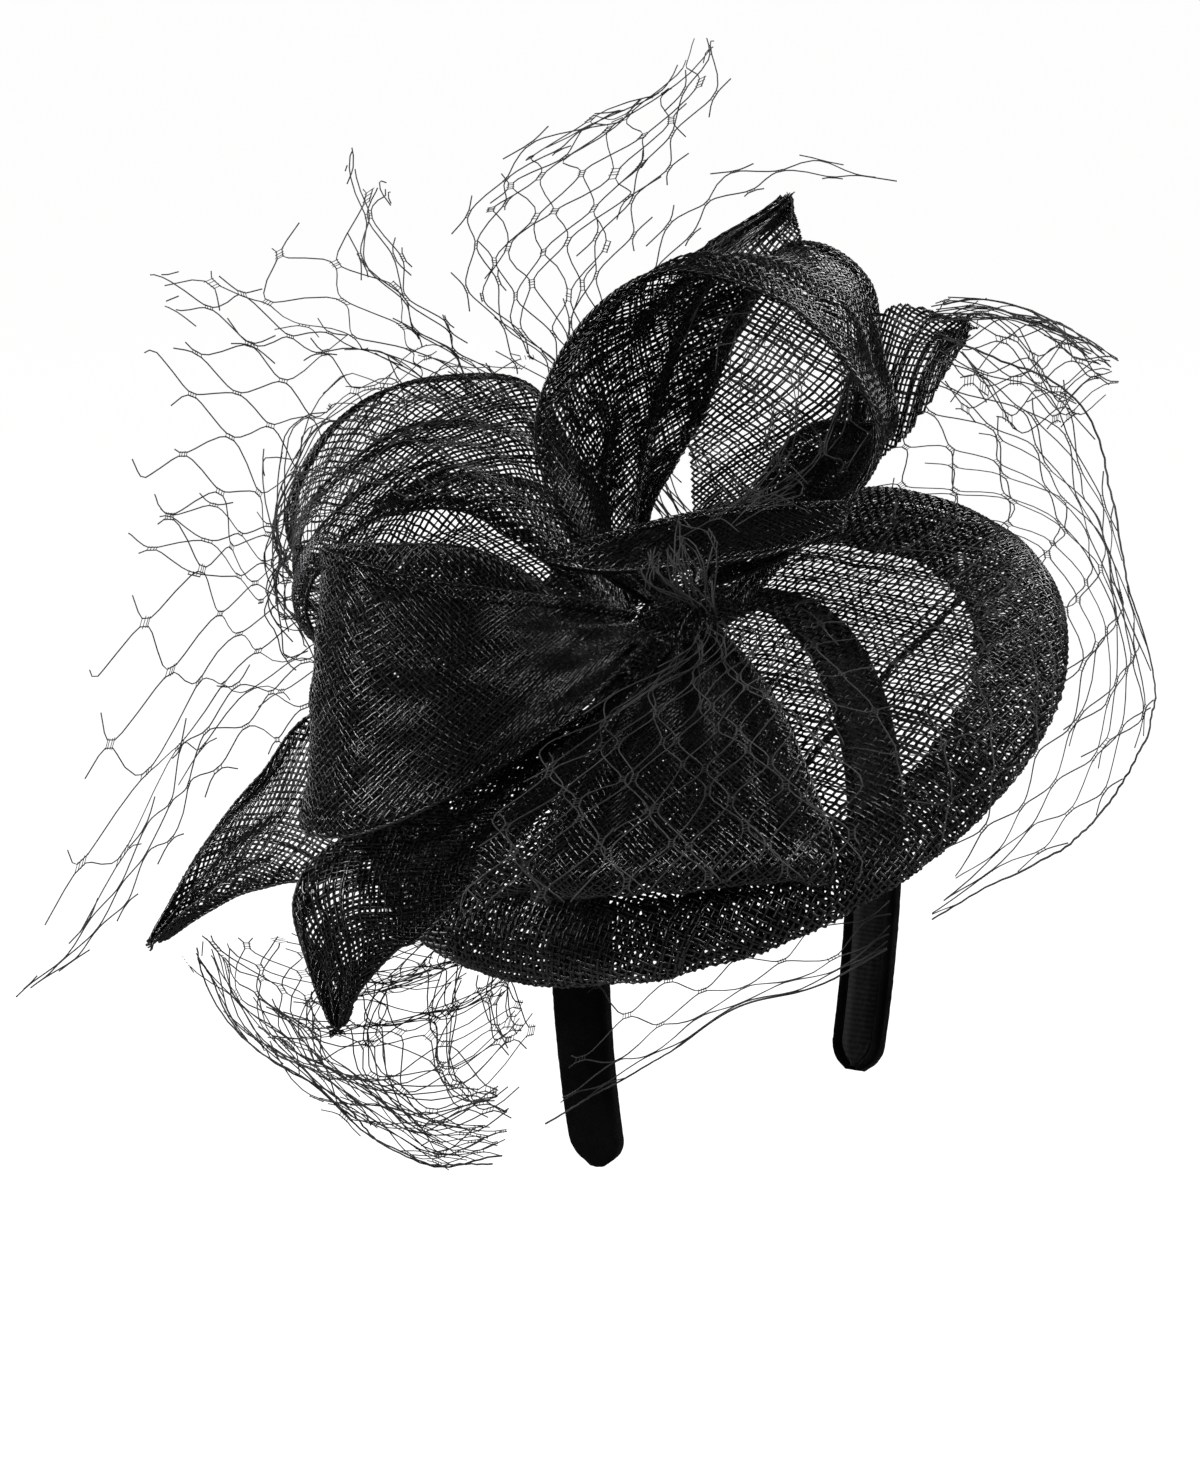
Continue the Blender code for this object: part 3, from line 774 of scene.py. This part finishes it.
def fold_over(node, turn, shift, width, grow=1.0):
    """Ribbon arched over a CAD node's box: turn is its heading in degrees, shift its place across."""
    low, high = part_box(node)
    corners = to_base(np.array([low, high]) / MM)
    middle = corners.mean(axis=0)
    reach = 0.5 * grow * np.abs(corners[1] - corners[0])
    heading = np.array([math.cos(math.radians(turn)), math.sin(math.radians(turn)), 0.0])
    aside = np.array([-heading[1], heading[0], 0.0])
    up = np.array([0.0, 0.0, 1.0])
    a = np.radians(np.linspace(15.0, 165.0, 5))[:, None]
    path = middle + heading * np.cos(a) * reach[:2].mean() + up * np.sin(a) * reach[2] + aside * shift
    return np.stack([path - aside * width * 0.5, path + aside * width * 0.5], axis=1)


# ---- base ---------------------------------------------------------------------------
# the cloth's path from the middle over the rounded edge and under to the opening, as (radius, height)
EDGE_PATH = [
    (0.0, 13.6), (15.0, 13.4), (30.0, 12.8), (45.0, 11.8), (58.0, 10.6), (69.0, 9.4), (75.5, 8.2),
    (80.6, 6.6), (85.0, 4.2), (88.3, 1.3), (90.7, -2.0), (91.5, -5.1), (90.9, -7.8), (90.0, -9.2),
    (85.5, -8.4), (79.5, -5.9), (73.0, -3.2), (68.5, -1.2),
]


class Dome:
    """Cloth blocked over a profile: flat polar position (s, t from the centre) to the base's surface."""

    def __init__(self, path):
        self.path = catmull(path, np.linspace(0, 1, 400))
        self.reach = run_length(self.path)

    def flat(self, s, t):
        rho = np.hypot(s, t)
        r = np.interp(rho, self.reach, self.path[:, 0])
        h = np.interp(rho, self.reach, self.path[:, 1])
        h = h + 0.35 * smooth_noise(s, t, 5, 34.0)
        safe = np.maximum(rho, 1e-6)
        return np.stack([s / safe * r, t / safe * r, h], axis=-1)

    def __call__(self, s, t):
        return to_world(self.flat(s, t)), normals(self.flat, s, t, 0.5) @ AXES


CROWN_GRAIN = math.radians(-8.0)
CROWN_PITCH = 1.68
CROWN_THREAD = 0.90
CROWN_THICK = 0.42


def build_base():
    dome = Dome(EDGE_PATH)
    stop = dome.reach[-1]
    cloth = Builder()
    weave(cloth, dome, lambda S, T, I, J, family: np.hypot(S, T) < stop, ((-stop, stop), (-stop, stop)),
        CROWN_GRAIN, CROWN_PITCH, CROWN_THREAD, CROWN_THICK, 11)
    piece = cloth.make("base_cloth", STRAW)
    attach(piece, "headpiece")
    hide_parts("crown_shell", "under_flange")


# ---- ribbons --------------------------------------------------------------------------
def width_share(rows, nominal):
    """How wide the layout is at each place along it, as a share of the ribbon's own width."""
    fine = catmull(rows, np.linspace(0, 1, 60))
    wide = np.linalg.norm(fine[:, 0] - fine[:, -1], axis=1) / nominal
    along = run_length(fine.mean(axis=1))
    return lambda s: np.interp(s, along, wide)


def folds(share, width, depth, seed):
    """Soft folds that run along the ribbon, deeper where it is gathered narrow."""
    def ripple(s, t):
        pinch = np.clip(1.0 - share(s), 0, 1)
        soft = depth * smooth_noise(s / 6.0, t, seed, 15.0) + 0.4 * depth * smooth_noise(s, t, seed + 1, 26.0)
        return soft + 1.8 * pinch ** 1.3 * np.sin(2 * math.pi * 3 * t / width + seed)
    return ripple


THREAD = 0.70
THREAD_THICK = 0.32
PLY_GAP = 0.9
CORD_STEP = 1.4


def ribbon(name, node, rows, width, angle, seed, depth, pitch=1.48, layers=1, hem=5.0, fray=0.0):
    """Woven ribbon along the rows: its layers, then hems and corded edges where it has a hem."""
    surface = Surface(rows, width, ripple=folds(width_share(rows, width), width, depth, seed))
    length = surface.length
    made = []
    for layer in range(layers):
        cloth = Builder()
        weave(cloth, surface, box_domain(0, length, 0, width, fray, seed + layer),
            ((0, length + fray), (0, width)), math.radians(angle + 6.0 * layer), pitch, THREAD,
            THREAD_THICK, seed + 40 * layer, lift=-PLY_GAP * layer)
        made.append(cloth.make(name + ("" if layer == 0 else "_layer%d" % (layer + 1)), RIBBON_STRAW))
    extra = []
    if hem:
        edge = Builder()
        for t0, t1 in ((0.0, hem), (width - hem, width)):
            weave(edge, surface, box_domain(0, length, t0, t1, fray * 0.5, seed + 5), ((0, length), (t0, t1)),
                math.radians(90 - angle), pitch, THREAD, THREAD_THICK, seed + 77, lift=0.7)
        for t in (0.0, width):
            for k in range(3):
                s = np.arange(0, length, CORD_STEP)
                p, n = surface(s, np.full_like(s, t))
                beyond, _ = surface(s, np.full_like(s, t + (0.5 if t else -0.5)))
                out = unit(beyond - p)
                turn = (s * 1.1 + k * 2.1)[:, None]
                edge.tube(p + out * (0.30 * np.cos(turn)) + n * (0.35 + 0.40 * np.sin(turn)), n, 0.27)
        extra.append(edge.make(name + "_hem", RIBBON_STRAW))
    for piece in made + extra:
        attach(piece, "headpiece")
        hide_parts(node)


def build_ribbons():
    ribbon("ribbon_loop_upper_right", "loop_upper_right", LOOP_UPPER_RIGHT, 70.0, 48.0, 101, depth=1.3,
        layers=2)
    ribbon("ribbon_loop_left", "loop_left", LOOP_LEFT, 64.0, 45.0, 102, depth=1.2)
    ribbon("ribbon_loop_front_left", "loop_front_left", LOOP_FRONT_LEFT, 68.0, 42.0, 103, depth=0.5,
        pitch=1.43, layers=2)
    ribbon("ribbon_loop_front_low", "loop_front_low", LOOP_FRONT_LOW, 70.0, 40.0, 104, depth=0.6, pitch=1.43)
    front_ply = sheet_from(LOOP_FRONT_LOW, out=-3.0, near=16.0, stop=6)
    ribbon("ribbon_loop_front_low_ply", "loop_front_low", front_ply, 78.0, 46.0, 114, depth=0.8,
        pitch=1.43, hem=0)
    ribbon("ribbon_fold_leaf", "fold_leaf", FOLD_LEAF, 22.0, 45.0, 109, depth=0.4, hem=3.0, layers=2)
    ribbon("ribbon_tail_left", "tail_left", TAIL_LEFT, 44.0, 45.0, 105, depth=0.7, fray=6.0)
    ribbon("ribbon_tail_lower_left", "tail_lower_left", sheet_from(TAIL_LOWER_LEFT, near=8.0), 38.0,
        45.0, 106, depth=0.6, fray=6.0, layers=2)
    ribbon("ribbon_tail_top", "tail_top", sheet_from(TAIL_TOP, near=20.0), 38.0, 46.0, 107, depth=0.5,
        fray=6.0, hem=0)
    ribbon("ribbon_tail_right", "tail_right", TAIL_RIGHT, 34.0, 45.0, 108, depth=0.5, fray=6.0, hem=0)
    ribbon("fold_wrap", "centre_fold", fold_over("centre_fold", 0.0, 0.0, 14.0), 14.0, 44.0, 110,
        depth=0.4, hem=2.5, layers=2)
    ribbon("fold_pleat_a", "centre_fold", fold_over("centre_fold", 80.0, 6.0, 10.0, 1.05), 10.0, 44.0,
        111, depth=0.3, hem=0)
    ribbon("fold_pleat_b", "centre_fold", fold_over("centre_fold", 90.0, 0.0, 10.0, 1.10), 10.0, 44.0,
        112, depth=0.3, hem=0)
    ribbon("fold_pleat_c", "centre_fold", fold_over("centre_fold", 100.0, -6.0, 10.0, 1.05), 10.0, 44.0,
        113, depth=0.3, hem=0)


# ---- veiling ------------------------------------------------------------------------------
BASE_MIDDLE = (0.0, 0.0, 0.0)
SIDE = 10.6
KNOT_RUN = 2.4
KNOT_GAP = 1.1


def netting(builder, surface, width, length, seed, half_angle=36.0, radius=0.175, crumple=1.2, cut=0.0,
    side=SIDE, selvedge=(), lift=0.0, shift=(0.0, 0.0)):
    """Knotted veiling over the surface; strands run along s and tie to their neighbours in turn."""
    rng = np.random.default_rng(seed)
    a = math.radians(half_angle)
    rise = side * math.cos(a)
    step = rise + KNOT_RUN
    w = side * math.sin(a) + KNOT_GAP
    strands = int(width / w) + 3
    rows = int((length + cut) / step) + 4
    s_row = -1.5 * step + shift[0] + np.arange(rows + 1) * step
    t_line = -w + shift[1] + np.arange(strands) * w

    def place(s, t):
        fade = np.clip(s / 25.0, 0.25, 1.0)
        s2 = s + crumple * smooth_noise(s, t, seed + 3, 34.0)
        t2 = t + crumple * smooth_noise(s, t, seed + 4, 34.0)
        p, n = surface(s2, t2)
        return p + n * (lift + fade * crumple * 1.2 * smooth_noise(s, t, seed + 5, 32.0))[..., None], n

    for i in range(strands):
        s_list = []
        t_list = []
        end = length + (rng.random() ** 1.5 - 0.3) * cut
        for k in range(rows):
            lean = (w - KNOT_GAP) * 0.5 * (1 if (i + k) % 2 == 0 else -1)
            nxt = -lean
            s_list += [s_row[k] - KNOT_RUN * 0.5, s_row[k] + KNOT_RUN * 0.5]
            t_list += [t_line[i] + lean, t_line[i] + lean]
            for f in (0.18, 0.5, 0.82):
                bow = 0.5 - 0.5 * math.cos(math.pi * f)
                s_list.append(s_row[k] + KNOT_RUN * 0.5 + rise * f)
                t_list.append(t_line[i] + lean + (nxt - lean) * (0.6 * f + 0.4 * bow))
        s = np.array(s_list)
        t = np.array(t_list)
        ok = (s >= 0) & (s <= end) & (t >= -0.2) & (t <= width + 0.2)
        for run in np.split(np.arange(len(s)), np.where(~ok)[0]):
            run = run[ok[run]]
            if len(run) < 2:
                continue
            p, n = place(s[run], t[run])
            builder.tube(p, n, radius)
    for k in range(rows):
        for i in range(strands - 1):
            if (i + k) % 2:
                continue
            t_mid = (t_line[i] + t_line[i + 1]) * 0.5
            if not (0 < s_row[k] < length - 0.4 * cut and 0 < t_mid < width):
                continue
            for f in (-0.45, -0.15, 0.15, 0.45):
                reach = KNOT_GAP * 0.5 + 0.15 + 0.2 * rng.random()
                s = np.full(3, s_row[k] + f * KNOT_RUN + 0.1 * rng.standard_normal())
                p, n = place(s, t_mid + np.array([-reach, 0, reach]))
                builder.tube(p + n * 0.12, n, 0.10)
    for t_edge in selvedge:
        s = np.arange(0, length, CORD_STEP)
        p, n = place(s, t_edge + 0.25 * np.sin(s * 2.1) + 0.5 * smooth_noise(s, s * 0, seed + 8, 12.0))
        builder.tube(p, n, 0.28)


def veil(name, node, rows, width, seed, layers=1, crumple=1.2, **more):
    """One piece of veiling; each further layer lies lower, is shifted and is more crumpled."""
    surface = Surface(rows, width)
    net = Builder()
    rng = np.random.default_rng(seed)
    for layer in range(layers):
        shift = (0.0, 0.0) if layer == 0 else (rng.uniform(-9, 0), rng.uniform(-6, 0))
        netting(net, surface, width, surface.length, seed + 31 * layer,
            crumple=crumple * (1 + 0.3 * layer), lift=-1.3 * layer, shift=shift, **more)
    piece = net.make(name, NET)
    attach(piece, "headpiece")
    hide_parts(node)


def build_veiling():
    veil("net_side", "veil_side", VEIL_SIDE, 96.0, 201, selvedge=(96.0,), crumple=0.8)
    veil("net_side_back", "veil_side", sheet_from(VEIL_SIDE, out=6.0, start=1, stop=7,
        centre=BASE_MIDDLE), 90.0, 221, crumple=1.2)
    veil("net_horn", "veil_horn", VEIL_HORN, 30.0, 202, layers=2, crumple=1.6)
    veil("net_horn_front", "veil_horn", sheet_from(VEIL_HORN, out=7.0, near=5.0, far=8.0,
        centre=BASE_MIDDLE), 38.0, 222, layers=2, crumple=1.3, half_angle=32.0, side=9.0)
    veil("net_horn_back", "veil_horn", sheet_from(VEIL_HORN, out=-7.0, near=5.0, far=10.0,
        centre=BASE_MIDDLE), 40.0, 223, layers=1, crumple=1.2, half_angle=32.0)
    veil("net_loop_over", "veil_horn", sheet_between(FOLD_LEAF, LOOP_UPPER_RIGHT[8:2:-1]), 48.0, 224,
        layers=3, crumple=1.3)
    veil("net_under", "veil_under", VEIL_UNDER, 44.0, 203, selvedge=(44.0,), crumple=0.8)
    veil("net_pouf", "veil_pouf", VEIL_POUF, 52.0, 204, selvedge=(52.0,), layers=2, crumple=1.3)
    veil("net_pouf_folds", "veil_pouf", sheet_from(VEIL_POUF, out=-4.0, stop=4), 48.0, 225, layers=4,
        crumple=1.8)
    veil("net_pouf_top", "veil_pouf", sheet_from(VEIL_POUF, out=5.0), 50.0, 226, layers=2, crumple=1.8)
    veil("net_left_strip", "veil_left_strip", VEIL_LEFT_STRIP, 30.0, 205, cut=8.0)
    veil("net_curtain", "veil_left_strip", sheet_between(SPRAY_FAR_LEFT, VEIL_LEFT_UPPER,
        VEIL_LEFT_STRIP), 120.0, 227, cut=14.0, crumple=1.4, side=11.5)
    veil("net_left_upper", "veil_left_upper", VEIL_LEFT_UPPER, 34.0, 206, cut=8.0)
    veil("net_left_over", "veil_left_upper", sheet_from(LOOP_LEFT, out=5.0, start=2, stop=7), 52.0, 228,
        cut=6.0, layers=3, crumple=1.8)
    veil("net_upper_left", "veil_left_upper", sheet_between(SPRAY_FAR_LEFT, SPRAY_BACK), 34.0, 229,
        cut=8.0, crumple=1.6)
    veil("net_spray_far_left", "veil_spray_far_left", SPRAY_FAR_LEFT, 24.0, 207, cut=10.0)
    veil("net_spray_back", "veil_spray_back", SPRAY_BACK, 20.0, 208, cut=10.0, layers=2)
    veil("net_back", "veil_spray_back", sheet_between(SPRAY_CURLED, SPRAY_TALL), 34.0, 230, cut=10.0,
        layers=2, crumple=1.6)
    veil("net_spray_curled", "veil_spray_curled", SPRAY_CURLED, 20.0, 209, cut=10.0)
    veil("net_spray_tall", "veil_spray_tall", SPRAY_TALL, 22.0, 210, cut=10.0)
    veil("net_spray_long", "veil_spray_long", SPRAY_LONG, 20.0, 211, cut=10.0)
    veil("net_front", "veil_front", VEIL_FRONT, 76.0, 212, layers=2, crumple=0.9, half_angle=38.0)
    veil("net_puff", "veil_puff", VEIL_PUFF, 40.0, 213, crumple=2.0, layers=2)
    veil("net_rosette", "veil_puff", sheet_from(VEIL_PUFF, out=4.0, near=4.0, far=4.0), 30.0, 231,
        crumple=2.4, layers=3)


# ---- alice band ---------------------------------------------------------------------------
BAND_RADIUS = 67.0
LEG_CURVE = 246.0
HALF_WIDTH_TOP = 9.0
HALF_WIDTH_TIP = 7.5
LEG_DROP = 66.0
LEG_END = 90.0 + LEG_CURVE * math.asin(LEG_DROP / LEG_CURVE)
TIP_RUN = 8.0


def band_frames(s, side):
    """Inner-face points and outward normals; s is degrees from the top, then mm down the leg."""
    a = np.radians(np.minimum(s, 90.0))
    b = np.maximum(s - 90.0, 0) / LEG_CURVE
    x = BAND_RADIUS * np.sin(a) - LEG_CURVE * (1 - np.cos(b))
    z = -BAND_RADIUS + BAND_RADIUS * np.cos(a) - LEG_CURVE * np.sin(b)
    down = s > 90.0
    nx = np.where(down, np.cos(b), np.sin(a))
    nz = np.where(down, -np.sin(b), np.cos(a))
    zero = np.zeros_like(x)
    return np.stack([side * x, zero, z], 1), np.stack([side * nx, zero, nz], 1)


def band_sweep(name, side, section, mat, trim, rough):
    """Half the band: section(half) gives (across, out) rings, swept from the top of the arch to the tip."""
    end = LEG_END - trim
    s = np.concatenate([np.arange(0.0, 90.0, 0.9), np.arange(90.0, end - TIP_RUN, 1.0),
        end - TIP_RUN * np.cos(np.linspace(0, math.pi / 2, 14))])
    origin, normal = band_frames(s, side)
    wide = HALF_WIDTH_TOP + (HALF_WIDTH_TIP - HALF_WIDTH_TOP) * s / LEG_END
    left = np.clip(1.0 - (end - s) / HALF_WIDTH_TIP, 0, 1)
    wide = wide * np.maximum(np.sqrt(np.maximum(1 - left ** 2, 0)), 0.30)
    rings = np.array([section(h) for h in wide])
    count = rings.shape[1]
    pts = origin[:, None] + normal[:, None] * rings[:, :, 1:2]
    pts[:, :, 1] += rings[:, :, 0]
    if rough:
        rng = np.random.default_rng(31)
        pts += rough * rng.standard_normal(pts.shape) * 0.6
    i, k = np.meshgrid(np.arange(len(s) - 1), np.arange(count), indexing="ij")
    m = (k + 1) % count
    order = [i * count + k, i * count + m, (i + 1) * count + m, (i + 1) * count + k]
    if side < 0:
        order = order[::-1]
    quads = np.stack([o.ravel() for o in order], 1)
    piece = mesh_object(name, pts.reshape(-1, 3), quads, mat)
    bm = bmesh.new()
    bm.from_mesh(piece.data)
    bmesh.ops.holes_fill(bm, edges=[e for e in bm.edges if e.is_boundary], sides=0)
    bmesh.ops.recalc_face_normals(bm, faces=bm.faces)
    bm.to_mesh(piece.data)
    bm.free()
    for poly in piece.data.polygons:
        poly.use_smooth = True
    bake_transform(piece)
    return piece


def arc_points(cx, cy, radius, a0, a1, steps):
    a = np.radians(np.linspace(a0, a1, steps))
    return [(cx + radius * math.cos(x), cy + radius * math.sin(x)) for x in a]


def velvet_section(half):
    """Velvet wrapped round the strip: soft corners, a slightly domed outer face and two lips turned in."""
    lip = max(half - 3.0, 1.1)
    top = 3.75
    c = min(1.3, half * 0.4)
    outer = [(-lip, 0.05)] + arc_points(-half + 0.5, 0.5, 0.5, 250, 180, 4)
    outer += arc_points(-half + c, top - c, c, 180, 95, 6)
    outer += [(x * (half - c), top + 0.28 * (1 - x * x)) for x in np.linspace(-0.9, 0.9, 13)]
    outer += arc_points(half - c, top - c, c, 85, 0, 6)
    outer += arc_points(half - 0.5, 0.5, 0.5, 0, -70, 4) + [(lip, 0.05)]
    skin = half - 0.9
    inner = [(lip, 0.6), (skin, 0.6), (skin, 3.0), (-skin, 3.0), (-skin, 0.6), (-lip, 0.6)]
    return outer + inner


def tape_section(half):
    w = max(half - 3.2, 0.8)
    return [(-w, 0.02), (-w, 0.58), (-w * 0.4, 0.60), (w * 0.4, 0.60), (w, 0.58), (w, 0.02),
        (w * 0.4, -0.02), (-w * 0.4, -0.02)]


def build_band():
    for side, leg in ((-1, "right_leg"), (1, "left_leg")):
        piece = band_sweep("velvet_" + leg, side, velvet_section, VELVET, 0.0, 0.05)
        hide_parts("band_cover_arch", "band_cover_" + leg)
        piece = band_sweep("lining_" + leg, side, tape_section, TAPE, 1.0, 0.0)
        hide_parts("band_lining_arch", "band_lining_" + leg)


def finish_cad_nodes():
    for name in ("edge_wire", "band_stitches", "binding_thread", "band_core_arch", "band_core_right_leg",
        "band_core_left_leg"):
        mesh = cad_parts[name].data
        mesh.materials.clear()
        mesh.materials.append(STEEL if name.startswith("band_core") else COTTON)


build_base()
build_ribbons()
build_veiling()
build_band()
finish_cad_nodes()
